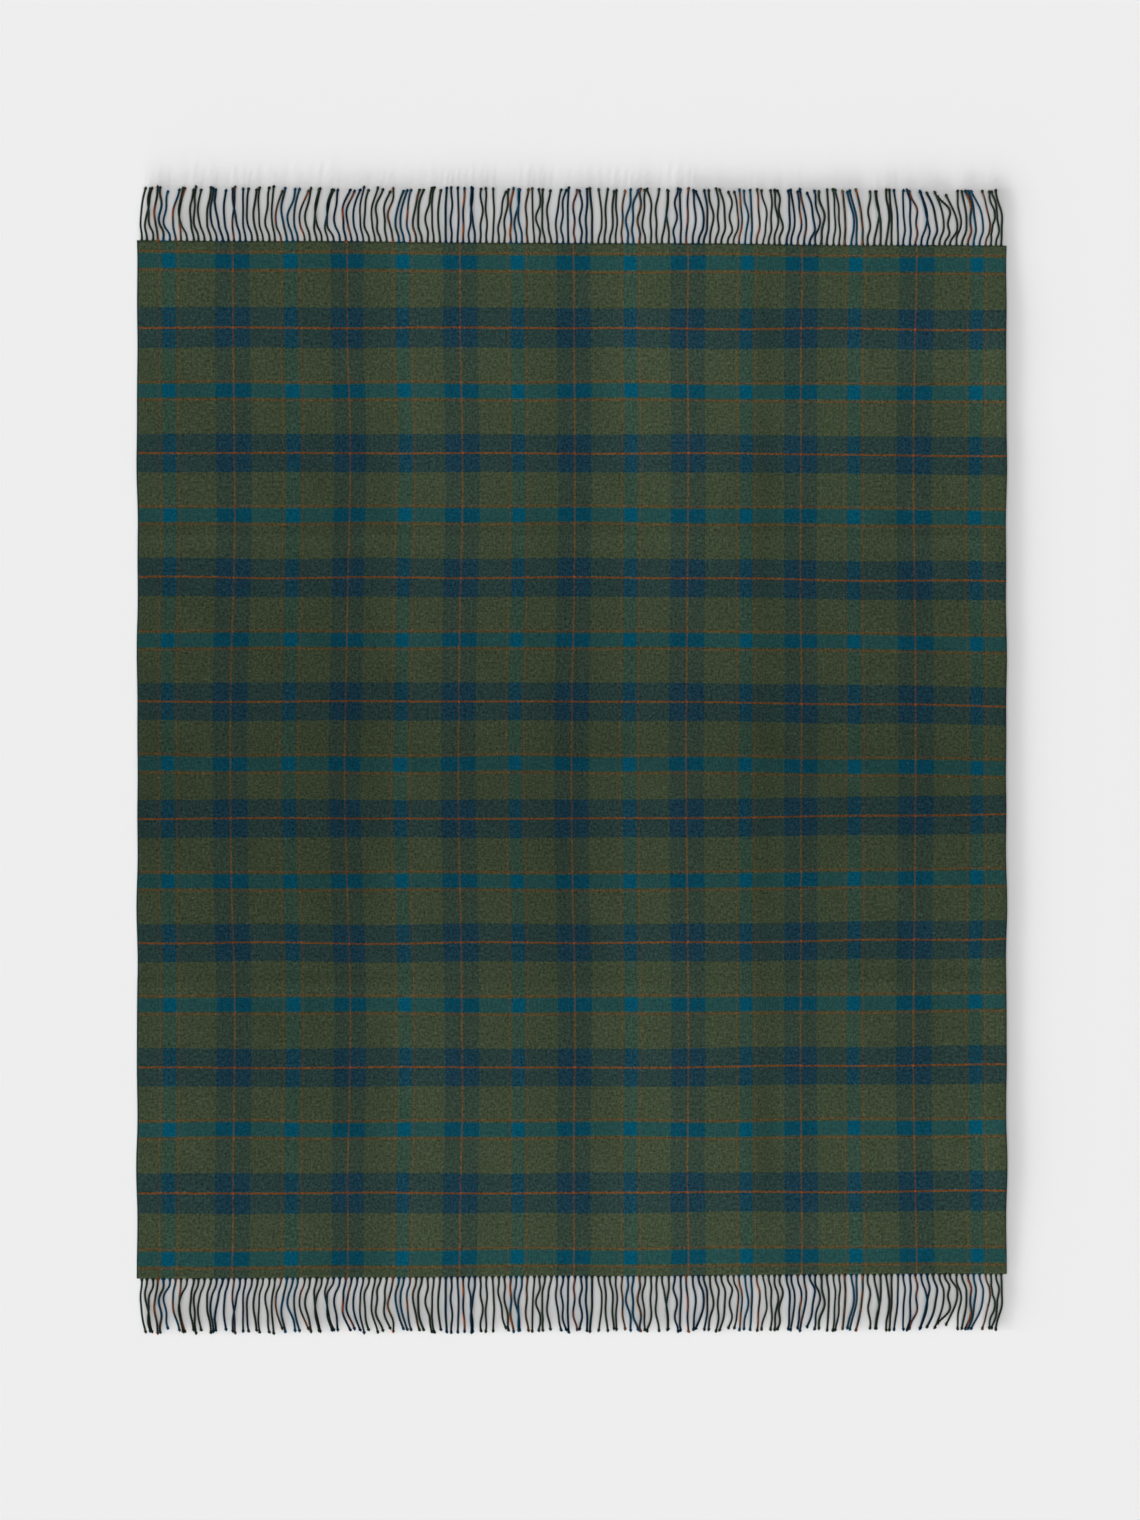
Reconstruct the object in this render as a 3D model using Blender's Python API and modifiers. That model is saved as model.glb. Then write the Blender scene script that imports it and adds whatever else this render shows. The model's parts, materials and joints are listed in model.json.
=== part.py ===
"""Wool throw blanket with twisted fringe, lying open on a surface.

The cloth is four panels that meet at three fold lines across its width, and each end carries
fifteen bunches of twisted cords. X is the width, Y the length with the head end at +Y, and Z is
up. The origin is the middle of the underside. Everything is in metres.
"""

import bmesh
import bpy
from mathutils import Matrix, Vector

# The cloth
CLOTH_WIDTH = 1.300
CLOTH_LENGTH = 1.545
CLOTH_THICKNESS = 0.003
EDGE_ROUNDING = 0.0008
FOLD_GAP = 0.0006  # between the panels' end faces

# The fringe: warp yarns twisted into cords, each ending in a small knot
FRINGE_REACH = 0.085  # from the cloth's end to the cords' tips
CORD_COUNT = 148  # along each end
CORD_RADIUS = 0.0016
KNOT_RADIUS = 0.0020
KNOT_LENGTH = 0.0060
CORD_SIDES = 5
STRIP_DEPTH = 0.0025  # the bare warp strip that the cords of a bunch grow out of
BUNCH_GAP = 0.0010  # between neighbouring bunches
END_GAP = 0.0003  # between the cloth's end face and the strips

# The tartan's stripes along the width: teal and navy in turn, teal outermost
TEAL_STRIPES = 8
NAVY_STRIPES = 7
HALF_REPEAT = 0.0848  # from a teal stripe's middle to the next navy one's

# Fold lines. Each axis lies above the cloth, high enough for the layers that it folds over and
# for how loosely they lie.
FRINGE_AIR = 0.0010
QUARTER_AIR = 0.0022
HALF_AIR = 0.0016
CENTRE_CLEARANCE = 0.0115  # a folded end's cord tips stop this far short of the middle
QUARTER_FOLD_Y = (CLOTH_LENGTH / 2 + FRINGE_REACH + CENTRE_CLEARANCE) / 2
FRINGE_AXIS_Z = KNOT_RADIUS * 2 + FRINGE_AIR
QUARTER_AXIS_Z = (CLOTH_THICKNESS + QUARTER_AIR + 2 * FRINGE_AXIS_Z) / 2
HALF_AXIS_Z = 2 * QUARTER_AXIS_Z + HALF_AIR

HEAD, FOOT = 1, -1

# Colours, linear RGB
OLIVE_WOOL = (0.040, 0.053, 0.030)
TEAL_WOOL = (0.003, 0.062, 0.105)
NAVY_WOOL = (0.006, 0.024, 0.048)


def clear_scene():
    for item in list(bpy.data.objects):
        bpy.data.objects.remove(item)


def new_collection(name):
    collection = bpy.data.collections.new(name)
    bpy.context.scene.collection.children.link(collection)
    return collection


def wool(name, colour):
    material = bpy.data.materials.new(name)
    material.use_nodes = True
    shader = material.node_tree.nodes["Principled BSDF"]
    shader.inputs["Base Color"].default_value = (*colour, 1.0)
    shader.inputs["Roughness"].default_value = 0.95
    shader.inputs["Metallic"].default_value = 0.0
    return material


def add_object(name, data, collection, parent=None, at=(0.0, 0.0, 0.0)):
    """An object placed at a point of the world, under a parent that is not turned."""
    made = bpy.data.objects.new(name, data)
    collection.objects.link(made)
    made.location = Vector(at)
    above = parent
    while above is not None:
        made.location -= above.location
        above = above.parent
    made.parent = parent
    return made


def box_mesh(name, low, high):
    low, high = Vector(low), Vector(high)
    size = high - low
    bm = bmesh.new()
    place = Matrix.Translation((low + high) / 2) @ Matrix.Diagonal((*size, 1.0))
    bmesh.ops.create_cube(bm, size=1.0, matrix=place)
    mesh = bpy.data.meshes.new(name)
    bm.to_mesh(mesh)
    bm.free()
    return mesh


def hinge_line(name, y, z, collection, parent=None):
    """An empty on a joint's axis, which carries what turns about it."""
    line = add_object(name, None, collection, parent, (0.0, y, z))
    line.empty_display_type = "ARROWS"
    line.empty_display_size = 0.05
    return line


def cloth_panel(name, y_low, y_high, collection, material, parent=None):
    """A rectangle of the cloth between two lines, with softly rounded edges."""
    middle = (y_low + y_high) / 2
    half_length = (y_high - y_low) / 2
    mesh = box_mesh(
        name,
        (-CLOTH_WIDTH / 2, -half_length, 0.0),
        (CLOTH_WIDTH / 2, half_length, CLOTH_THICKNESS),
    )
    mesh.materials.append(material)
    panel = add_object(name, mesh, collection, parent, (0.0, middle, 0.0))
    rounding = panel.modifiers.new("rounded edges", "BEVEL")
    rounding.width = EDGE_ROUNDING
    rounding.segments = 2
    return panel


def cord_profile():
    """Half a cord's outline along +Y, for turning about Y: a straight shank, then the knot."""
    knot_start = FRINGE_REACH - KNOT_LENGTH
    knot_middle = FRINGE_REACH - KNOT_LENGTH / 2
    outline = [
        (0.0, FRINGE_REACH),
        (KNOT_RADIUS, knot_middle),
        (CORD_RADIUS, knot_start),
        (CORD_RADIUS, STRIP_DEPTH / 2),
        (0.0, STRIP_DEPTH / 2),
    ]
    bm = bmesh.new()
    points = [bm.verts.new((radius, along, 0.0)) for radius, along in outline]
    for a, b in zip(points, points[1:]):
        bm.edges.new((a, b))
    mesh = bpy.data.meshes.new("cord_profile")
    bm.to_mesh(mesh)
    bm.free()
    return mesh


def cord_row(name, profile, count, pitch, collection):
    """A row of turned cords side by side, centred on X = 0, to be joined to a strip."""
    row = add_object(name, profile, collection, None, (-(count - 1) * pitch / 2, 0.0, KNOT_RADIUS))
    row.hide_render = True
    row.display_type = "WIRE"
    turned = row.modifiers.new("turned cord", "SCREW")
    turned.axis = "Y"
    turned.steps = CORD_SIDES
    turned.render_steps = CORD_SIDES
    turned.use_merge_vertices = True
    turned.merge_threshold = 0.00001
    turned.use_smooth_shade = False
    copies = row.modifiers.new("row", "ARRAY")
    copies.count = count
    copies.use_relative_offset = False
    copies.use_constant_offset = True
    copies.constant_offset_displace = (pitch, 0.0, 0.0)
    return row


def fringe_bunch(name, end, middle, count, pitch, profile, parts, cutters, material, parent):
    """The cords of one stripe, joined to their strip of bare warp at the cloth's end."""
    half_width = (count * pitch - BUNCH_GAP) / 2
    mesh = box_mesh(
        name,
        (-half_width, END_GAP, 0.0),
        (half_width, STRIP_DEPTH, 2 * KNOT_RADIUS),
    )
    mesh.materials.append(material)
    bunch = add_object(name, mesh, parts, parent, (middle, end * CLOTH_LENGTH / 2, 0.0))
    if end == FOOT:
        bunch.rotation_euler.z = 3.141592653589793
    cords = cord_row(name + "_cords", profile, count, pitch, cutters)
    cords.parent = bunch
    joined = bunch.modifiers.new("cords", "BOOLEAN")
    joined.operation = "UNION"
    joined.solver = "EXACT"
    joined.object = cords
    return bunch


def stripe_names():
    """The stripes that the bunches are named for, from -X to +X."""
    names = []
    for i in range(TEAL_STRIPES):
        names.append(("teal", i + 1))
        if i < NAVY_STRIPES:
            names.append(("navy", i + 1))
    return names


def bunch_edges(stripes, pitch):
    """Which cord each bunch starts at: the one nearest the middle between two stripes."""
    edges = [0]
    for i in range(1, stripes):
        border = (i - stripes / 2) * HALF_REPEAT
        edges.append(round((border + CLOTH_WIDTH / 2) / pitch))
    return edges + [CORD_COUNT]


def fringe_row(end, end_name, parts, cutters, wools, parent):
    pitch = CLOTH_WIDTH / CORD_COUNT
    profile = cord_profile()
    stripes = stripe_names()
    edges = bunch_edges(len(stripes), pitch)
    for (colour, number), first, after in zip(stripes, edges, edges[1:]):
        middle = (first + after) / 2 * pitch - CLOTH_WIDTH / 2
        fringe_bunch(
            f"fringe_{end_name}_{colour}_{number}",
            end,
            middle,
            after - first,
            pitch,
            profile,
            parts,
            cutters,
            wools[colour],
            parent,
        )


def build_throw():
    clear_scene()
    parts = new_collection("throw_blanket")
    cutters = new_collection("cords_to_join")
    cloth_wool = wool("olive_wool", OLIVE_WOOL)
    wools = {"teal": wool("teal_wool", TEAL_WOOL), "navy": wool("navy_wool", NAVY_WOOL)}
    cloth_end = CLOTH_LENGTH / 2
    fold_face = FOLD_GAP / 2

    half_fold = hinge_line("axis_fold_half", 0.0, HALF_AXIS_Z, parts)
    foot_fold = hinge_line("axis_fold_foot", -QUARTER_FOLD_Y, QUARTER_AXIS_Z, parts)
    head_fold = hinge_line("axis_fold_head", QUARTER_FOLD_Y, QUARTER_AXIS_Z, parts, half_fold)
    foot_turn = hinge_line("axis_fringe_foot", -cloth_end, FRINGE_AXIS_Z, parts, foot_fold)
    head_turn = hinge_line("axis_fringe_head", cloth_end, FRINGE_AXIS_Z, parts, head_fold)

    half_span = (fold_face, QUARTER_FOLD_Y - fold_face)
    end_span = (QUARTER_FOLD_Y + fold_face, cloth_end)
    cloth_panel("cloth_foot_half", -half_span[1], -half_span[0], parts, cloth_wool)
    cloth_panel("cloth_head_half", *half_span, parts, cloth_wool, half_fold)
    cloth_panel("cloth_foot_end", -end_span[1], -end_span[0], parts, cloth_wool, foot_fold)
    cloth_panel("cloth_head_end", *end_span, parts, cloth_wool, head_fold)
    fringe_row(FOOT, "foot", parts, cutters, wools, foot_turn)
    fringe_row(HEAD, "head", parts, cutters, wools, head_turn)


build_throw()
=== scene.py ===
"""The looks of the wool throw: one tartan cloth in three sheets, and its twisted fringe cords.

Everything is in metres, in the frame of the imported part: X across, Y along, Z up.
"""

import json
import math

import bpy
import numpy as np
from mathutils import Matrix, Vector


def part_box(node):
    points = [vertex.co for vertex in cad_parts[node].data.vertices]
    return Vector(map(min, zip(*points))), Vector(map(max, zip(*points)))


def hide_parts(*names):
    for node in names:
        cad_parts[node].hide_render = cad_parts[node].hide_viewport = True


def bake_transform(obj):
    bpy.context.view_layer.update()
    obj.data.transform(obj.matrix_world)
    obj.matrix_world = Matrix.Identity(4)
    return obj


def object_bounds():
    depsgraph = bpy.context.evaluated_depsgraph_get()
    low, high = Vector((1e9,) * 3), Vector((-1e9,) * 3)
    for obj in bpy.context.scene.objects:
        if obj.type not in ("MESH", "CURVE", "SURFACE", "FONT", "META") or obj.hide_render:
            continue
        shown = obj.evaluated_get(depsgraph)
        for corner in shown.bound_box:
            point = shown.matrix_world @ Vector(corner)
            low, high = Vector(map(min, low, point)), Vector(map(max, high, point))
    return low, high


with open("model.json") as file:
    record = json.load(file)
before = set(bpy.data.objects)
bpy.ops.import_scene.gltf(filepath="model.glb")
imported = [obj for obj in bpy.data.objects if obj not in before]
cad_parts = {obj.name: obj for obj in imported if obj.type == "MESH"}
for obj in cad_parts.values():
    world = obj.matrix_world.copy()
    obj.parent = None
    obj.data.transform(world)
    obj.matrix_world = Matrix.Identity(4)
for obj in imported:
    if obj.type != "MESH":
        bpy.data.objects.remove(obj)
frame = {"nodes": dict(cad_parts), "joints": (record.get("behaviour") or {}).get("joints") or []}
CAD_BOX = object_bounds()

# ---------------------------------------------------------------- places taken from the frame
HALF_WIDTH = CAD_BOX[1].x
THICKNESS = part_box("cloth_head_half")[1].z
CLOTH_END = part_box("cloth_head_end")[1].y
QUARTER_FOLD = (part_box("cloth_head_half")[1].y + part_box("cloth_head_end")[0].y) / 2
FRINGE_REACH = CAD_BOX[1].y - CLOTH_END
AXIS = {j["name"]: Vector(j["pos_m"]) for j in frame["joints"]}

# ---------------------------------------------------------------- the tartan's sett
# Across the width the sett turns about the middle of a navy stripe, along the length about the
# middle of a teal band.
WARP_REPEAT = 0.1697
WEFT_REPEAT = 0.1858
WARP_NAVY = 0.0250  # half widths of the stripes
WARP_TEAL = 0.0098
WEFT_NAVY = 0.0284
WEFT_TEAL = 0.0102
PAIR_LINE = 0.0138  # from a teal stripe's middle to the rust line on each side of it
LINE_WIDTH = 0.0024
MAIN_LINE_WIDTH = 0.0028  # the line in the middle of each navy band
SELVEDGE = 0.0010  # the dark yarns along each side
WARP_CENTRE = 0.0031  # where the middle stripe and band lie
WEFT_CENTRE = -0.0058
# Stripes that the loom left off their places: where, over what reach, and how far to +X
SLACK = (
    (-0.60, 0.05, -0.0025),
    (-0.38, 0.06, 0.0042),
    (-0.12, 0.06, 0.0018),
    (0.25, 0.05, 0.0030),
    (0.422, 0.04, -0.0060),
    (0.60, 0.05, -0.0020),
)
SIDE_SLACK = 0.009  # how far outwards the outermost stripes lie, at the sides
END_SLACK = 0.006  # and the outermost bands, at the ends
NARROW_BAND = 0.0110  # how much narrower one olive band at the middle is

# ---------------------------------------------------------------- how the cloth lies
WARP_DRIFT = 0.006  # how far its stripes wander sideways
END_DRIFT = 0.0022  # how far they all lean to +X near the ends
BAND_SAG = 0.0070  # how far its bands sag towards the middle at the right side
END_SLANT = 0.0040  # how much longer it lies at its left side than at its middle, at each end
EARLY_SLANT = 0.0021  # how much of that comes in gently, well before the end
MOST_LIFT = 0.0019  # how far its underside may stand off the floor
# Lanes along it that stand up: how high, and between which places they rise and fall again
LANES = (
    (0.0016, (-0.27, -0.08), (-0.06, 0.05)),
    (0.0022, (0.07, 0.22), (0.26, 0.31)),
    (0.0005, (0.31, 0.34), (0.40, 0.60)),
)

# ---------------------------------------------------------------- the cloth's mesh
GRID_STEP = 0.0065
EDGE_STEP = 0.0008
FOLD_STEP = 0.0012
EDGE_ROUND = 0.0024  # how far in from its edges the cloth thins
EDGE_THIN = 0.35  # the share of its thickness left at the very edge

# ---------------------------------------------------------------- the fringe
CORD_COUNT = 148
CORD_RADIUS = 0.00155
PLY_SWELL = 0.24  # how far the two plies stand out, as a share of the radius
TWIST_PITCH = 0.0066
RINGS_PER_TURN = 8
YARN_ROLL = 0.0058  # the length over which each of its yarns comes round to the top again
RING_SIDES = 8
KNOT_RADIUS = 0.0023
KNOT_LENGTH = 0.0050
ROOT_DEPTH = 0.0045  # how far a cord runs into the cloth
ROOT_FLARE = 1.3  # how much wider it is where it leaves the cloth
FLARE_REACH = 0.0013
CORD_PITCH = 2 * HALF_WIDTH / CORD_COUNT
PATH_STEPS = 48
SIDE_BOW = 0.0050  # how far a cord at the side bows outwards
BOW_SPREAD = 0.0026  # how far the bows differ along the row, from neighbour to neighbour
GATHERING = (0.26, 0.42, 0.22, 0.10)  # the share of tips that lie alone, in twos, threes and fours
HOOKED = 0.10  # the share of cords that hook at the tip, and how far
HOOK = 0.0075
CROSSED = 0.09  # the share of cords that cross their neighbour
SIDE_PULL = 0.0030  # how far inwards the roots of the outermost cords are pulled
SPREADING_PASSES = 60  # in which cords that lie too close are pushed apart
SHORTER = 0.0015  # how much shorter a cord is than the CAD's
LENGTH_SPREAD = 0.0014

# ---------------------------------------------------------------- the wool's display colours
# For each kind of weft: where it crosses olive, teal and navy warp, the rust line in the navy, and
# the rust lines beside the teal
ON_OLIVE = ((58, 67, 49), (47, 68, 56), (47, 61, 51), (83, 66, 42), (72, 67, 46))
ON_TEAL = ((33, 68, 66), (0, 71, 91), (6, 62, 78), (62, 64, 61), (49, 67, 65))
ON_NAVY = ((38, 57, 54), (20, 57, 70), (23, 51, 63), (60, 54, 51), (50, 55, 53))
ON_PAIR = ((81, 64, 39), (72, 65, 52), (68, 58, 46), (104, 64, 38), (92, 64, 40))
ON_MAIN = ((96, 61, 33), (86, 61, 41), (81, 54, 36), (128, 64, 34), (110, 62, 34))
# The warp yarns themselves, in the same order
CORD_COLOURS = ((28, 40, 32), (0, 52, 74), (2, 33, 52), (126, 64, 24), (126, 64, 24))
SELVEDGE_COLOUR = (22, 38, 42)
TWILL_WAVES = 1500.0  # how close its diagonal ribs are, in radians to the metre
TWILL_SHARE = 0.06  # how much they stand out against the fuzz
# Painted light and shade in lanes across the width, where the cloth's gentle folds face towards the
# light or away, from the left side at 0 to the right side at 1
PAINTED_LANE_SHADE = (
    (0.00, 0.95),
    (0.26, 0.91),
    (0.32, 1.04),
    (0.41, 1.02),
    (0.49, 0.97),
    (0.59, 1.11),
    (0.66, 1.08),
    (0.72, 0.96),
    (0.80, 1.02),
    (1.00, 1.00),
)

# ---------------------------------------------------------------- light and camera
FLOOR_SIZE = 60.0
FLOOR_GAP = 0.0004  # how far the plain floor lies below the throw
FLOOR_ALBEDO = 0.80
FLOOR_SEEN = 0.855  # the floor's brightness in the picture, linear
LAMP_SHARE = 0.40  # of the light that falls on the floor
TOP_SHARE = 0.42  # of a broad light overhead; the room gives the rest
TOP_SIZE = 100.0  # degrees across
LAMP_HEIGHT = 6.0  # degrees above the floor
LAMPS_FROM = (182.0, 202.0, 222.0, 242.0, 264.0)  # the sides they come from, in degrees from +X
LAMP_SIZE = 11.0  # degrees across
PICTURE_HEIGHT = 2.274
PICTURE_CENTRE_X = -0.0026
LENS, SENSOR = 85.0, 36.0
LIT = FLOOR_SEEN / FLOOR_ALBEDO  # what a white surface lying flat would show


# ================================================================ small helpers


def smooth(low, high, value):
    t = np.clip((value - low) / (high - low), 0.0, 1.0)
    return t * t * (3.0 - 2.0 * t)


def linear(red, green, blue):
    """Linear RGB of a display colour, 0 to 255."""
    channels = np.array((red, green, blue)) / 255.0
    low = channels / 12.92
    high = ((channels + 0.055) / 1.055) ** 2.4
    return tuple(float(c) for c in np.where(channels <= 0.04045, low, high))


def paint(red, green, blue):
    """The albedo that shows as this display colour on the lit cloth, with alpha."""
    return tuple(c / LIT for c in linear(red, green, blue)) + (1.0,)


def ripples(x, y, seed, wavelength, count=7):
    """Smooth random hills between about -1 and 1: a few waves of mixed directions."""
    draw = np.random.default_rng(seed)
    total = np.zeros_like(x, float)
    for _ in range(count):
        turn = draw.uniform(0.0, 2.0 * math.pi)
        number = 2.0 * math.pi / (wavelength * draw.uniform(0.7, 1.5))
        along = x * math.cos(turn) + y * math.sin(turn)
        total += np.sin(along * number + draw.uniform(0.0, 2.0 * math.pi))
    return total / math.sqrt(count)


# ================================================================ the cloth's shape


def sett_coordinates(x, y):
    """Where each point of the flat cloth lies in its sett; the outer repeats are a little slack."""
    across = x - WARP_CENTRE - np.sign(x) * SIDE_SLACK * smooth(0.51, 0.60, np.abs(x))
    across -= sum(far * np.exp(-(((x - at) / reach) ** 2)) for at, reach, far in SLACK)
    along = y - WEFT_CENTRE - np.sign(y) * END_SLACK * smooth(0.60, 0.74, np.abs(y))
    along -= NARROW_BAND * smooth(0.022, 0.056, -y)
    return across, along


def laid_out(x, y):
    """Where the flat cloth's points lie on the floor: its yarns wander, as hand-laid cloth does."""
    s = x / HALF_WIDTH
    t = np.abs(y) / CLOTH_END
    half = 1.0 - 2.0 * smooth(0.020, 0.060, -y)
    at_side = s**8
    inside = 1.0 - at_side
    drift = 0.9 * s - 0.6 * (1.0 - s**2)
    dx = WARP_DRIFT * drift * (0.25 + 0.7 * np.cos(5.7 * t)) * inside
    dx += END_DRIFT * smooth(0.78, 0.95, t) * inside
    dx += 0.0007 * ripples(x, y, seed=11, wavelength=0.30) * inside
    dx += 0.0009 * ripples(x * 0.0, y, seed=13, wavelength=0.17) * np.sign(x) * at_side
    dy = -BAND_SAG * half * np.clip((s - 0.2) / 0.8, 0.0, 1.0) * (1.0 - t**1.6)
    dy -= np.sign(y) * s * (EARLY_SLANT * t**4 + (END_SLANT - EARLY_SLANT) * t**14)
    dy += 0.0009 * ripples(x, y, seed=12, wavelength=0.26)
    return x + dx, y + dy


def crease(place, at, width, height):
    """A soft ridge along a line where the cloth was once folded."""
    return height * np.exp(-(((place - at) / width) ** 2))


def lift(x, y):
    """How far the cloth's underside stands off the floor."""
    t = np.abs(y) / CLOTH_END
    rise = sum(high * smooth(*up, x) * (1.0 - smooth(*down, x)) for high, up, down in LANES)
    rise *= 0.55 + 0.45 * t
    rise += crease(np.abs(y), at=0.336, width=0.010, height=0.0008)
    rise += crease(y, at=0.0, width=0.030, height=0.0007)
    rise += 0.0006 * (1.0 + ripples(x, y, seed=21, wavelength=0.33))
    rise += 0.0002 * (1.0 + ripples(x, y, seed=22, wavelength=0.06))
    right_edge = 0.8 + 0.2 * ripples(x * 0, y, seed=23, wavelength=0.25)
    rise += 0.0022 * smooth(0.61, 0.65, x) * right_edge
    rise = MOST_LIFT * np.tanh(np.maximum(rise, 0.0) / MOST_LIFT)
    return rise * (1.0 - smooth(0.62, 0.775, np.abs(y)))


def stations(start, end, step, fine=()):
    """Places from start to end about a step apart, closer together in each (low, high, step)."""
    places = list(np.linspace(start, end, max(2, round((end - start) / step))))
    for low, high, small in fine:
        kept = [p for p in places if not low - small / 2 < p < high + small / 2]
        places = kept + list(np.linspace(low, high, max(2, round((high - low) / small) + 1)))
    return np.unique(np.round(places + [start, end], 6))


def edge_places(edge, inward):
    """A close span just inside an edge, for its rounding."""
    ends = sorted((edge, edge + inward * EDGE_ROUND))
    return [(ends[0], ends[1], EDGE_STEP)]


def grid_mesh(name, across, along):
    """A flat grid of quads over the given places."""
    x, y = np.meshgrid(across, along)
    points = np.stack([x.ravel(), y.ravel(), np.zeros(x.size)], axis=1)
    columns = len(across)
    faces = []
    for row in range(len(along) - 1):
        for column in range(columns - 1):
            corner = row * columns + column
            faces.append((corner, corner + 1, corner + columns + 1, corner + columns))
    mesh = bpy.data.meshes.new(name)
    mesh.from_pydata(points.tolist(), [], faces)
    return mesh, points


def set_uv(mesh, coordinates):
    """Stores each vertex's sett coordinates as the mesh's UV map."""
    layer = mesh.uv_layers.new(name="sett")
    corners = np.empty(len(mesh.loops), np.int32)
    mesh.loops.foreach_get("vertex_index", corners)
    layer.data.foreach_set("uv", coordinates[corners].astype(np.float32).ravel())


def new_object(name, mesh):
    made = bpy.data.objects.new(name, mesh)
    bpy.context.scene.collection.objects.link(made)
    return made


def applied(thing):
    """Replaces an object's mesh by the one that its modifiers make."""
    graph = bpy.context.evaluated_depsgraph_get()
    mesh = bpy.data.meshes.new_from_object(
        thing.evaluated_get(graph), preserve_all_data_layers=True, depsgraph=graph
    )
    thing.modifiers.clear()
    thing.vertex_groups.clear()
    thing.data = mesh
    return mesh


def cloth_sheet(name, y_low, y_high, fold, bend, material):
    """One sheet of the cloth from y_low to y_high, with close rows where it bends at its fold."""
    sides = edge_places(-HALF_WIDTH, 1) + edge_places(HALF_WIDTH, -1)
    rows = [(fold - 1.3 * bend, fold + 1.3 * bend, FOLD_STEP)]
    if y_low < -CLOTH_END + GRID_STEP:
        rows += edge_places(y_low, 1)
    if y_high > CLOTH_END - GRID_STEP:
        rows += edge_places(y_high, -1)
    across = stations(-HALF_WIDTH, HALF_WIDTH, GRID_STEP, sides)
    along = stations(y_low, y_high, GRID_STEP, rows)
    mesh, flat = grid_mesh(name, across, along)
    x, y = flat[:, 0], flat[:, 1]
    set_uv(mesh, np.stack(sett_coordinates(x, y), axis=1))

    laid_x, laid_y = laid_out(x, y)
    height = THICKNESS / 2 + lift(x, y)
    mesh.vertices.foreach_set("co", np.stack([laid_x, laid_y, height], axis=1).ravel())
    sheet = new_object(name, mesh)

    to_edge = np.minimum(HALF_WIDTH - np.abs(x), CLOTH_END - np.abs(y))
    inward = np.clip(to_edge / EDGE_ROUND, 0.0, 1.0)
    thick = EDGE_THIN + (1.0 - EDGE_THIN) * np.sqrt(1.0 - (1.0 - inward) ** 2)
    group = sheet.vertex_groups.new(name="thick")
    for value in np.unique(np.round(thick, 3)):
        members = np.nonzero(np.isclose(np.round(thick, 3), value))[0]
        group.add(members.tolist(), float(value), "REPLACE")
    solid = sheet.modifiers.new("thickness", "SOLIDIFY")
    solid.thickness = THICKNESS
    solid.offset = 0.0
    solid.vertex_group = "thick"
    mesh = applied(sheet)
    mesh.shade_smooth()
    mesh.set_sharp_from_angle(angle=math.radians(50))
    mesh.materials.clear()
    mesh.materials.append(material)
    return sheet


# ================================================================ the fringe's shape


def drifting(draw, count, reach, spread):
    """Random numbers in which neighbours are alike: each follows the last ones over a reach."""
    keep = math.exp(-1.0 / reach)
    values = np.zeros(count)
    values[0] = draw.normal()
    for i in range(1, count):
        values[i] = keep * values[i - 1] + math.sqrt(1.0 - keep**2) * draw.normal()
    return values * spread


def tip_offsets(draw):
    """How far each tip lies to the side of its root: tips gather in twos, threes and fours."""
    offsets = drifting(draw, CORD_COUNT, 5.0, 0.0022)
    first = 0
    while first < CORD_COUNT:
        size = int(draw.choice((1, 2, 3, 4), p=GATHERING))
        members = np.arange(first, min(first + size, CORD_COUNT))
        offsets[members] += draw.normal(0.0, 0.0018)
        offsets[members] -= (members - members.mean()) * CORD_PITCH * draw.uniform(0.10, 0.48)
        first += size
    return offsets


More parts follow.
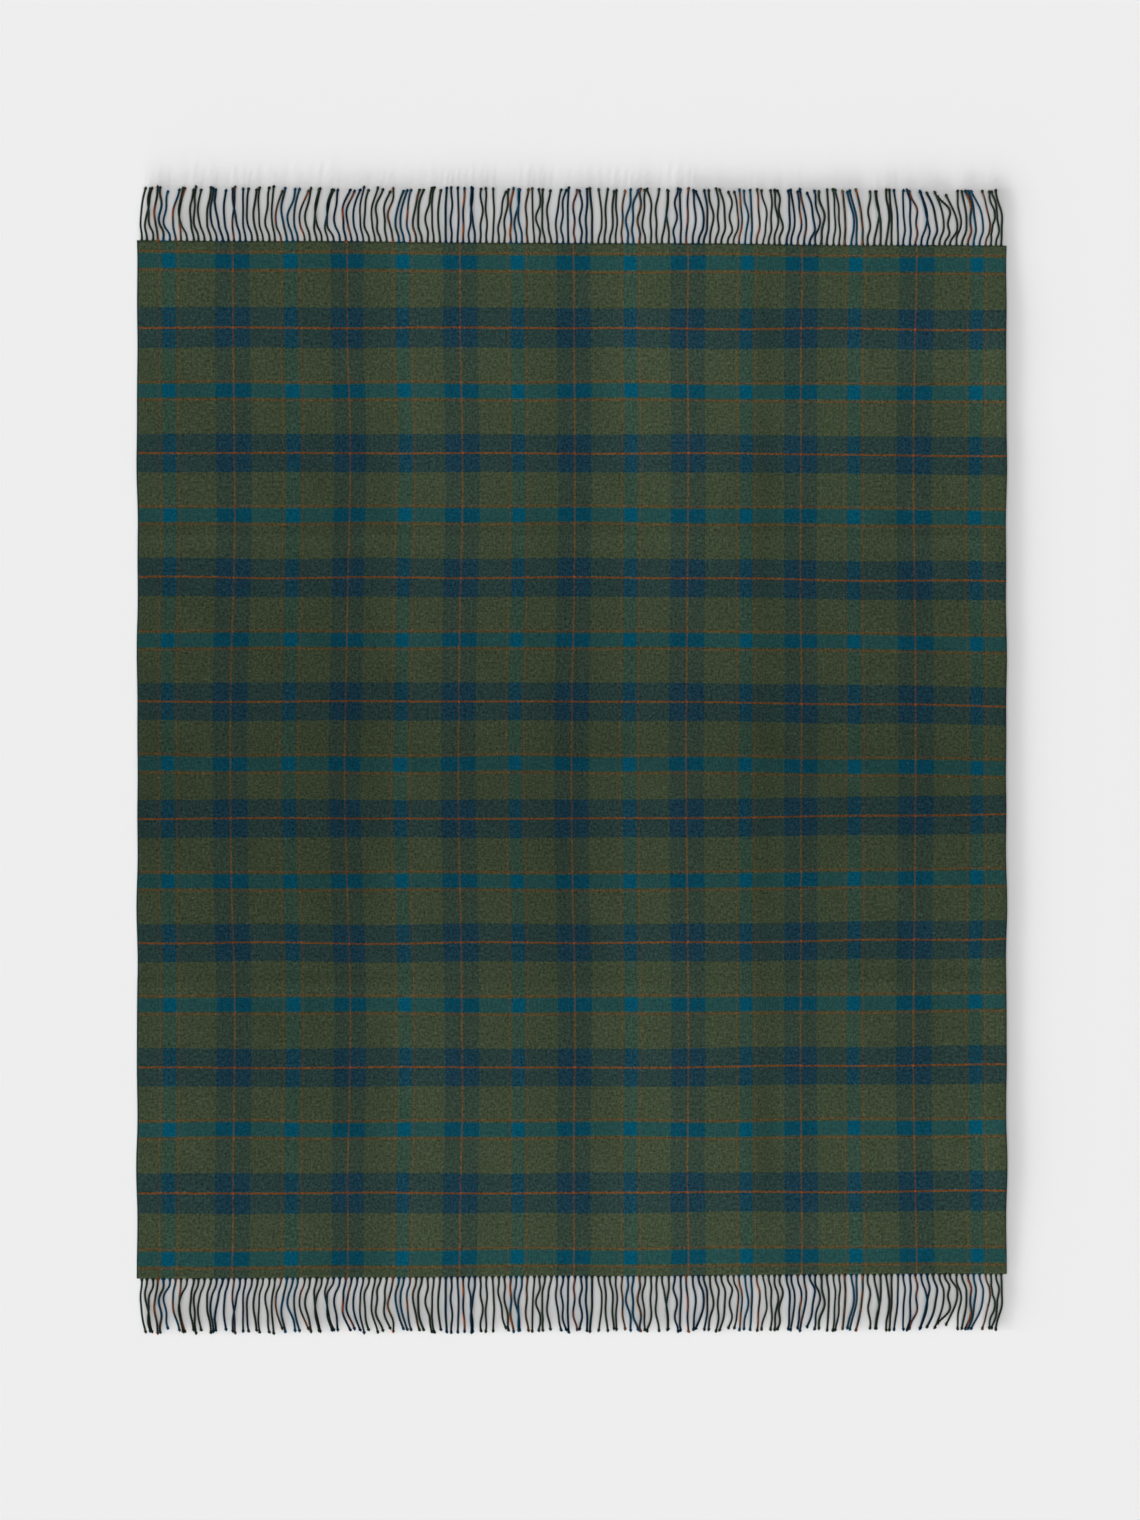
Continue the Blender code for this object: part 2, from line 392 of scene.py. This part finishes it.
def cord_paths():
    """The sideways place, height and length of each cord, at even steps from root to tip.

    A cord leaves the cloth straight, bows to one side and comes back; its neighbours do much
    the same. At the left of the throw the bows are to the left, at the right to the right.
    """
    draw = np.random.default_rng(61)
    s = np.linspace(0.0, 1.0, PATH_STEPS + 1)
    number = np.arange(CORD_COUNT)
    roots = (number + 0.5) * CORD_PITCH - HALF_WIDTH + draw.normal(0.0, 0.0005, CORD_COUNT)
    side = -np.cos(math.pi * number / (CORD_COUNT - 1))
    bow = SIDE_BOW * side + drifting(draw, CORD_COUNT, 4.0, BOW_SPREAD)
    bow += draw.normal(0.0, 0.0010, CORD_COUNT)
    tip = tip_offsets(draw) - 0.5 * bow
    hooked = draw.random(CORD_COUNT) < HOOKED
    hook = np.where(hooked, draw.normal(0.0, HOOK, CORD_COUNT), 0.0)
    peak = draw.uniform(0.70, 1.15, CORD_COUNT)
    wave = draw.uniform(0.0, 2.0 * math.pi, CORD_COUNT)
    bend = draw.normal(0.0, 0.0011, CORD_COUNT)
    from_side = np.minimum(number, CORD_COUNT - 1 - number)
    roots -= SIDE_PULL * side * np.exp(-from_side / 2.5)
    bow *= smooth(-4.0, 6.0, from_side)

    x = roots[:, None] + tip[:, None] * s**2
    x += bow[:, None] * np.sin(math.pi * s ** peak[:, None]) * smooth(0.0, 0.3, s)
    x += hook[:, None] * s**5
    x += bend[:, None] * np.sin(3.6 * math.pi * s + wave[:, None]) * smooth(0.0, 0.25, s)

    crossing = draw.random(CORD_COUNT - 1) < CROSSED
    for i in np.nonzero(crossing)[0]:
        share = draw.uniform(0.5, 0.75) * smooth(0.1, draw.uniform(0.6, 0.95), s)
        step = (x[i + 1] - x[i]) * share
        x[i] += step
        x[i + 1] -= step
    least = 2.1 * CORD_RADIUS * (1.0 + PLY_SWELL / 2)
    for _ in range(SPREADING_PASSES):
        push = np.maximum(least - np.diff(x, axis=0), 0.0) / 2 * smooth(0.0, 0.12, s)
        push[crossing] = 0.0
        x[:-1] -= push
        x[1:] += push
    inside = HALF_WIDTH - 1.5 * CORD_RADIUS
    x = inside * np.clip(x / inside, -1.0, 1.0)

    height = np.zeros_like(x)
    for i in np.nonzero(crossing)[0]:
        apart = np.abs(x[i + 1] - x[i])
        over = 1.5 * CORD_RADIUS * np.exp(-((apart / (2.0 * CORD_RADIUS)) ** 2))
        height[i + 1] = np.maximum(height[i + 1], over * smooth(0.05, 0.2, s))
    length = FRINGE_REACH - SHORTER + draw.normal(0.0, LENGTH_SPREAD, CORD_COUNT)
    length += END_SLANT / 2 * x[:, 0] / HALF_WIDTH
    detour = (np.diff(x, axis=1) ** 2).sum(axis=1) * PATH_STEPS / (2.0 * FRINGE_REACH)
    return s, x, height, np.minimum(length - detour, FRINGE_REACH)


def cord_rings(s, x, height, length, end, phase, girth):
    """The points of one twisted two-ply cord with its knot, ring by ring, and their yarn places."""
    reach = length + ROOT_DEPTH
    rings = int(reach / TWIST_PITCH * RINGS_PER_TURN)
    d = np.linspace(0.0, reach, rings)
    share = np.clip((d - ROOT_DEPTH) / length, 0.0, 1.0)
    from_tip = reach - d
    shank = CORD_RADIUS * girth * (0.65 + 0.35 * smooth(0.0, 1.6 * ROOT_DEPTH, d))
    knot = np.sqrt(np.clip(1.0 - ((from_tip - KNOT_LENGTH / 2) / (KNOT_LENGTH / 2)) ** 2, 0, 1))
    radius = np.where(from_tip > KNOT_LENGTH, shank, np.maximum(KNOT_RADIUS * knot, 0.0))
    neck = smooth(KNOT_LENGTH * 0.45, KNOT_LENGTH * 1.25, from_tip)
    radius = np.where(from_tip > KNOT_LENGTH / 2, np.maximum(radius, shank * neck), radius)
    radius = np.maximum(radius, 0.0003)

    free = smooth(0.3 * ROOT_DEPTH, 1.1 * ROOT_DEPTH, d)  # from inside the cloth to on the floor
    on_floor = radius * (1.0 + PLY_SWELL)
    centre = np.stack(
        [
            np.interp(share, s, x),
            CLOTH_END - ROOT_DEPTH - END_SLANT * x[0] / HALF_WIDTH + d,
            np.interp(share, s, height) + THICKNESS / 2 * (1.0 - free) + on_floor * free,
        ],
        axis=1,
    )
    ahead = np.gradient(centre, axis=0)
    ahead /= np.linalg.norm(ahead, axis=1)[:, None]
    side = np.cross(ahead, (0.0, 0.0, 1.0))
    side /= np.linalg.norm(side, axis=1)[:, None]
    up = np.cross(side, ahead)

    turn = phase + 2.0 * math.pi * d / TWIST_PITCH
    around = np.arange(RING_SIDES) * 2.0 * math.pi / RING_SIDES
    swell = 1.0 + PLY_SWELL * np.cos(2.0 * around)
    angle = turn[:, None] + around[None, :]
    spoke = radius[:, None] * swell[None, :]
    flare = 1.0 + ROOT_FLARE * np.exp(-np.clip(d - ROOT_DEPTH, 0.0, None) / FLARE_REACH)
    points = (
        centre[:, None, :]
        + side[:, None, :] * (spoke * np.cos(angle) * flare[:, None])[:, :, None]
        + up[:, None, :] * (spoke * np.sin(angle))[:, :, None]
    )
    points[:, :, 1] *= end

    roll = 0.48 * np.sin(2.0 * math.pi * d[:, None] / YARN_ROLL + around[None, :] + phase)
    yarn = x[0] + CORD_PITCH * roll
    return points, np.stack([yarn, np.repeat(d[:, None], RING_SIDES, axis=1)], axis=2)


def ring_faces(rings, base, flip):
    """Quads between the rings, and a cap at each end."""
    faces = []
    for ring in range(rings - 1):
        for side in range(RING_SIDES):
            a = base + ring * RING_SIDES + side
            b = base + ring * RING_SIDES + (side + 1) % RING_SIDES
            faces.append((a, b, b + RING_SIDES, a + RING_SIDES))
    last = base + (rings - 1) * RING_SIDES
    faces.append(tuple(base + side for side in reversed(range(RING_SIDES))))
    faces.append(tuple(last + side for side in range(RING_SIDES)))
    return [tuple(reversed(face)) for face in faces] if flip else faces


def fringe_bunch(node, end, paths, cords, material):
    """The separate cords of one CAD bunch, as one piece."""
    s, x, height, length = paths
    draw = np.random.default_rng(900)
    phases = draw.uniform(0.0, 2.0 * math.pi, CORD_COUNT)
    girths = draw.normal(1.0, 0.05, CORD_COUNT)
    points, yarns, faces = [], [], []
    total = 0
    for i in cords:
        ring_points, ring_yarns = cord_rings(
            s, x[i], height[i], length[i], end, phases[i], girths[i]
        )
        faces += ring_faces(len(ring_points), total, flip=end > 0)
        points.append(ring_points.reshape(-1, 3))
        yarns.append(ring_yarns.reshape(-1, 2))
        total += ring_points.shape[0] * RING_SIDES
    mesh = bpy.data.meshes.new(node + "_cords")
    mesh.from_pydata(np.concatenate(points).tolist(), [], faces)
    yarns = np.concatenate(yarns)
    across, _ = sett_coordinates(yarns[:, 0], yarns[:, 0] * 0.0)
    set_uv(mesh, np.stack([across, yarns[:, 1]], axis=1))
    mesh.shade_smooth()
    mesh.materials.append(material)
    return new_object(node + "_cords", mesh)


# ================================================================ materials


class Shader:
    """A material's node tree, with short ways to add nodes."""

    def __init__(self, name):
        self.material = bpy.data.materials.new(name)
        self.material.use_nodes = True
        self.tree = self.material.node_tree
        self.surface = self.tree.nodes["Principled BSDF"]

    def node(self, kind, **settings):
        made = self.tree.nodes.new(kind)
        for key, value in settings.items():
            setattr(made, key, value)
        return made

    def put(self, socket, value):
        if isinstance(value, bpy.types.NodeSocket):
            self.tree.links.new(value, socket)
        else:
            socket.default_value = value

    def math(self, operation, *values, clamp=False):
        made = self.node("ShaderNodeMath", operation=operation, use_clamp=clamp)
        for socket, value in zip(made.inputs, values):
            self.put(socket, value)
        return made.outputs[0]

    def mix(self, share, a, b, blend="MIX"):
        made = self.node("ShaderNodeMix", data_type="RGBA", blend_type=blend)
        self.put(made.inputs[0], share)
        self.put(made.inputs[6], a)
        self.put(made.inputs[7], b)
        return made.outputs[2]

    def sett(self):
        """The sett coordinates: one vector, and its two numbers."""
        uv = self.node("ShaderNodeUVMap", uv_map="sett").outputs[0]
        split = self.node("ShaderNodeSeparateXYZ")
        self.put(split.inputs[0], uv)
        return uv, split.outputs[0], split.outputs[1]

    def noise(self, vector, scale, detail=2.0, stretch=(1.0, 1.0, 1.0), roughness=0.5):
        """Noise from 0 to 1, stretched along the axes."""
        place = self.node("ShaderNodeMapping")
        self.put(place.inputs[0], vector)
        place.inputs[3].default_value = stretch
        made = self.node("ShaderNodeTexNoise")
        self.put(made.inputs["Vector"], place.outputs[0])
        made.inputs["Scale"].default_value = scale
        made.inputs["Detail"].default_value = detail
        made.inputs["Roughness"].default_value = roughness
        return made.outputs[0]

    def spread(self, value, low, high, out_low=0.0, out_high=1.0):
        """A number carried from one range to another, and held inside it."""
        made = self.node("ShaderNodeMapRange")
        for socket, v in zip(made.inputs, (value, low, high, out_low, out_high)):
            self.put(socket, v)
        return made.outputs[0]

    def ramp(self, share, stops, between="CONSTANT"):
        """A colour ramp of (place, colour); as bands, each colour holds up to the next place."""
        made = self.node("ShaderNodeValToRGB")
        self.put(made.inputs[0], share)
        ramp = made.color_ramp
        ramp.interpolation = between
        while len(ramp.elements) < len(stops):
            ramp.elements.new(1.0)
        for element, (place, colour) in zip(ramp.elements, stops):
            element.position = place
            element.color = colour
        return made.outputs[0]

    def add(self, colour, amount, tint):
        """The colour with an amount of a tint added; the amount or tint may be below nothing."""
        scaled = self.node("ShaderNodeVectorMath", operation="SCALE")
        self.put(scaled.inputs[0], tint)
        self.put(scaled.inputs["Scale"], amount)
        total = self.node("ShaderNodeVectorMath", operation="ADD")
        self.put(total.inputs[0], colour)
        self.put(total.inputs[1], scaled.outputs[0])
        least = self.node("ShaderNodeVectorMath", operation="MAXIMUM")
        self.put(least.inputs[0], total.outputs[0])
        self.put(least.inputs[1], (0.0005, 0.0005, 0.0005))
        return least.outputs[0]

    def shade(self, colour, *factors):
        """The colour made lighter or darker by each factor."""
        total = factors[0]
        for factor in factors[1:]:
            total = self.math("MULTIPLY", total, factor)
        grey = self.node("ShaderNodeCombineXYZ")
        for socket in grey.inputs:
            self.put(socket, total)
        return self.mix(1.0, colour, grey.outputs[0], blend="MULTIPLY")

    def bump(self, height, strength, distance):
        made = self.node("ShaderNodeBump")
        made.inputs["Strength"].default_value = strength
        made.inputs["Distance"].default_value = distance
        self.put(made.inputs["Height"], height)
        self.put(self.surface.inputs["Normal"], made.outputs[0])

    def like_wool(self, colour, roughness):
        """Dull, with a faint sheen of fine hairs."""
        self.put(self.surface.inputs["Base Color"], colour)
        self.put(self.surface.inputs["Roughness"], roughness)
        self.surface.inputs["Specular IOR Level"].default_value = 0.0
        self.surface.inputs["Sheen Weight"].default_value = 0.03
        self.surface.inputs["Sheen Roughness"].default_value = 0.5


def warp_bands(shader, across, colours):
    """The colour of each warp stripe for one kind of weft.

    The colours are of olive, teal and navy, the rust line in the navy and those beside the teal.
    """
    olive, teal, navy, main_rust, pair_rust = colours
    half = WARP_REPEAT / 2
    place = shader.math("DIVIDE", shader.math("PINGPONG", across, half), half)
    pair = half - PAIR_LINE
    return shader.ramp(
        place,
        [
            (0.0, main_rust),
            (LINE_WIDTH / 2 / half, navy),
            (WARP_NAVY / half, olive),
            ((pair - LINE_WIDTH / 2) / half, pair_rust),
            ((pair + LINE_WIDTH / 2) / half, olive),
            (1.0 - WARP_TEAL / half, teal),
        ],
    )


def crossing_colours(shader, across, along):
    """The colour where each kind of weft crosses each kind of warp.

    The second value says where the weft is teal.
    """
    half = WEFT_REPEAT / 2
    from_teal = shader.math("PINGPONG", along, half)
    from_navy = shader.math("SUBTRACT", half, from_teal)
    from_pair = shader.math("ABSOLUTE", shader.math("SUBTRACT", from_teal, PAIR_LINE))
    colour = warp_bands(shader, across, [paint(*c) for c in ON_OLIVE])
    bands = [
        (from_navy, WEFT_NAVY, ON_NAVY),
        (from_navy, MAIN_LINE_WIDTH / 2, ON_MAIN),
        (from_pair, LINE_WIDTH / 2, ON_PAIR),
        (from_teal, WEFT_TEAL, ON_TEAL),
    ]
    for distance, reach, colours in bands:
        inside = shader.math("LESS_THAN", distance, reach)
        crossed = warp_bands(shader, across, [paint(*c) for c in colours])
        colour = shader.mix(inside, colour, crossed)
    return colour, inside


def tartan():
    """Brushed wool twill: the sett's crossings, yarn streaks, melange flecks, painted light and shade
    at its middle and in lanes along its folds, and weave.
    """
    shader = Shader("tartan_wool")
    uv, across, along = shader.sett()

    # Yarns wander a little, so that stripe edges aren't ruled lines
    shiver_x = shader.noise(uv, 260.0, stretch=(0.12, 1.0, 1.0))
    shiver_y = shader.noise(uv, 260.0, stretch=(1.0, 0.12, 1.0))
    yarn_x = shader.math("ADD", across, shader.spread(shiver_x, 0.3, 0.7, -0.0006, 0.0006))
    yarn_y = shader.math("ADD", along, shader.spread(shiver_y, 0.3, 0.7, -0.0006, 0.0006))
    colour, on_teal_weft = crossing_colours(shader, yarn_x, yarn_y)

    # Melange: fibres of other greens and yellows, single yarns, and painted light and shade at the
    # middle and in lanes. Teal yarn is plainer.
    melange = shader.noise(uv, 290.0, detail=3.0, stretch=(1.0, 0.88, 1.0), roughness=0.65)
    depth = shader.spread(on_teal_weft, 0.0, 1.0, 0.62, 0.30)
    mottle = shader.math("SUBTRACT", shader.spread(melange, 0.25, 0.75, 0.0, 2.0), 1.0)
    mottle = shader.math("ADD", shader.math("MULTIPLY", mottle, depth), 1.0)
    fibre = shader.noise(uv, 900.0, detail=2.0)
    warp_yarn = shader.noise(uv, 480.0, stretch=(1.0, 0.22, 1.0))
    weft_yarn = shader.noise(uv, 480.0, stretch=(0.22, 1.0, 1.0))
    cloud = shader.noise(uv, 9.0, detail=3.0)
    colour = shader.shade(
        colour,
        mottle,
        shader.spread(fibre, 0.25, 0.75, 0.80, 1.20),
        shader.spread(warp_yarn, 0.25, 0.75, 0.82, 1.18),
        shader.spread(weft_yarn, 0.25, 0.75, 0.82, 1.18),
        shader.spread(cloud, 0.3, 0.7, 0.96, 1.04),
        # painted shade: darker towards the middle of the length, lighter and darker in lanes along
        # the cloth's folds
        painted_fold_shade(shader, across, along),
    )
    yellow = shader.noise(uv, 270.0, detail=3.0, roughness=0.7)
    yellow = shader.spread(yellow, 0.25, 0.75, -0.011, 0.011)
    colour = shader.add(colour, yellow, (1.0, 0.6, 0.2))

    edge = shader.math("GREATER_THAN", shader.math("ABSOLUTE", across), selvedge_place())
    colour = shader.mix(edge, colour, paint(*SELVEDGE_COLOUR))
    shader.like_wool(colour, shader.spread(melange, 0.3, 0.7, 0.86, 0.98))
    shader.surface.inputs["Sheen Tint"].default_value = (0.75, 0.82, 0.72, 1.0)

    diagonal = shader.math("MULTIPLY", shader.math("ADD", across, along), TWILL_WAVES)
    twill = shader.math("MULTIPLY", shader.math("SINE", diagonal), TWILL_SHARE)
    fuzz = shader.noise(uv, 420.0, detail=5.0, roughness=0.75)
    shader.bump(shader.math("ADD", twill, fuzz), strength=0.15, distance=0.0006)
    return shader.material


def selvedge_place():
    """The sett coordinate at which the dark yarns of the side edges begin."""
    across, _ = sett_coordinates(np.array([HALF_WIDTH - SELVEDGE]), np.zeros(1))
    return float(across[0]) + WARP_CENTRE


def painted_fold_shade(shader, across, along):
    """Painted shade: the cloth is darker towards the middle of its length, and lighter and darker in
    lanes along it where its gentle folds would face towards the light or away.
    """
    # painted shade: the cloth darker towards the middle of its length
    flat = shader.spread(shader.math("ABSOLUTE", along), 0.0, 0.60, 0.84, 1.12)
    place = shader.spread(across, -HALF_WIDTH, HALF_WIDTH)
    # painted light and shade in lanes along the cloth's gentle folds
    stops = [(at, (light, light, light, 1.0)) for at, light in PAINTED_LANE_SHADE]
    return shader.math("MULTIPLY", flat, shader.ramp(place, stops, between="EASE"))


def cord_wool(name):
    """Twisted warp yarns in their stripes' own colours, flecked with single fibres."""
    shader = Shader(name)
    uv, across, _ = shader.sett()
    colour = warp_bands(shader, across, [paint(*c) for c in CORD_COLOURS])
    fibre = shader.noise(uv, 900.0, detail=3.0, roughness=0.7)
    blotch = shader.noise(uv, 160.0, detail=2.0)
    colour = shader.shade(
        colour,
        shader.spread(fibre, 0.3, 0.7, 0.72, 1.28),
        shader.spread(blotch, 0.3, 0.7, 0.80, 1.20),
    )
    yellow = shader.noise(uv, 420.0, detail=2.0)
    yellow = shader.spread(yellow, 0.5, 0.75, 0.0, 0.008)
    colour = shader.add(colour, yellow, (1.0, 0.6, 0.1))
    shader.like_wool(colour, shader.spread(fibre, 0.3, 0.7, 0.8, 0.98))
    shader.bump(fibre, strength=0.25, distance=0.0003)
    return shader.material


# ================================================================ the throw


def make_cloth():
    """Three sheets that meet at the middles of the two inner panels, where nothing bends."""
    wool = tartan()
    seam = QUARTER_FOLD / 2
    quarter_bend = math.pi / 2 * (AXIS["fold_head"].z - THICKNESS / 2)
    half_bend = math.pi / 2 * (AXIS["fold_half"].z - THICKNESS / 2)
    plan = [
        ("cloth_sheet_foot", -CLOTH_END, -seam, -QUARTER_FOLD, quarter_bend, "foot_end", "foot_half"),
        ("cloth_sheet_middle", -seam, seam, 0.0, half_bend, "foot_half", "head_half"),
        ("cloth_sheet_head", seam, CLOTH_END, QUARTER_FOLD, quarter_bend, "head_half", "head_end"),
    ]
    sheets = {}
    for name, low, high, fold, bend, below, above in plan:
        sheet = cloth_sheet(name, low, high, fold, bend, wool)
        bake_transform(sheet)
        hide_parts("cloth_" + below, "cloth_" + above)
        sheets[name] = (sheet, (2 * HALF_WIDTH, high - low))
    return sheets


def cords_of(node):
    """The numbers of the cords that a CAD bunch holds."""
    low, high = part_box(node)
    first = round((low.x + HALF_WIDTH) / CORD_PITCH)
    after = round((high.x + HALF_WIDTH) / CORD_PITCH)
    return range(first, after)


def make_fringe():
    """One piece for each CAD bunch; the cords turn with their row where they leave the cloth."""
    paths = cord_paths()
    wools = {"teal": cord_wool("cord_wool_teal"), "navy": cord_wool("cord_wool_navy")}
    rows = {"foot": [], "head": []}
    for node in sorted(n for n in frame["nodes"] if n.startswith("fringe_")):
        _, side, colour, _ = node.split("_")
        end = 1 if side == "head" else -1
        bunch = fringe_bunch(node, end, paths, cords_of(node), wools[colour])
        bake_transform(bunch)
        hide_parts(node)
        rows[side].append(bunch)
    return rows


# ================================================================ floor, light and camera


def make_floor():
    bpy.ops.mesh.primitive_plane_add(size=FLOOR_SIZE, location=(0.0, 0.0, -FLOOR_GAP))
    floor = bpy.context.object
    floor.name = "floor"
    shader = Shader("floor_paint")
    shader.surface.inputs["Base Color"].default_value = (FLOOR_ALBEDO,) * 3 + (1.0,)
    shader.surface.inputs["Roughness"].default_value = 1.0
    shader.surface.inputs["Specular IOR Level"].default_value = 0.0
    floor.data.materials.append(shader.material)


def add_sun(name, height, side, size, share):
    """A far-off lamp that gives a share of the floor's light; the angles are in degrees."""
    lamp = bpy.data.lights.new(name, "SUN")
    lamp.energy = math.pi * LIT * share / math.sin(math.radians(height))
    lamp.angle = math.radians(size)
    holder = bpy.data.objects.new(name, lamp)
    bpy.context.scene.collection.objects.link(holder)
    up, round_z = math.radians(height), math.radians(side)
    flat = math.cos(up)
    towards = Vector((math.cos(round_z) * flat, math.sin(round_z) * flat, math.sin(up)))
    holder.rotation_mode = "QUATERNION"
    holder.rotation_quaternion = towards.to_track_quat("Z", "Y")


def make_light():
    """An even white room, a broad light overhead, and broad low lamps at the lower left."""
    world = bpy.data.worlds.new("room")
    bpy.context.scene.world = world
    world.use_nodes = True
    room = world.node_tree.nodes["Background"]
    room.inputs[0].default_value = (1.0, 1.0, 1.0, 1.0)
    room.inputs[1].default_value = LIT * (1.0 - LAMP_SHARE - TOP_SHARE)
    add_sun("top_light", 90.0, 0.0, TOP_SIZE, TOP_SHARE)
    for number, degrees in enumerate(LAMPS_FROM, 1):
        share = LAMP_SHARE / len(LAMPS_FROM)
        add_sun(f"low_lamp_{number}", LAMP_HEIGHT, degrees, LAMP_SIZE, share)


def make_camera():
    """Straight above the throw, with the head end at the top of the picture."""
    data = bpy.data.cameras.new("camera")
    data.lens = LENS
    data.sensor_width = SENSOR
    camera = bpy.data.objects.new("camera", data)
    bpy.context.scene.collection.objects.link(camera)
    camera.location = (PICTURE_CENTRE_X, 0.0, PICTURE_HEIGHT * LENS / SENSOR)
    data.clip_end = 100.0
    bpy.context.scene.camera = camera
    bpy.context.scene.view_settings.view_transform = "Standard"


make_camera()
make_light()
make_floor()
cloth_sheets = make_cloth()
fringe_rows = make_fringe()
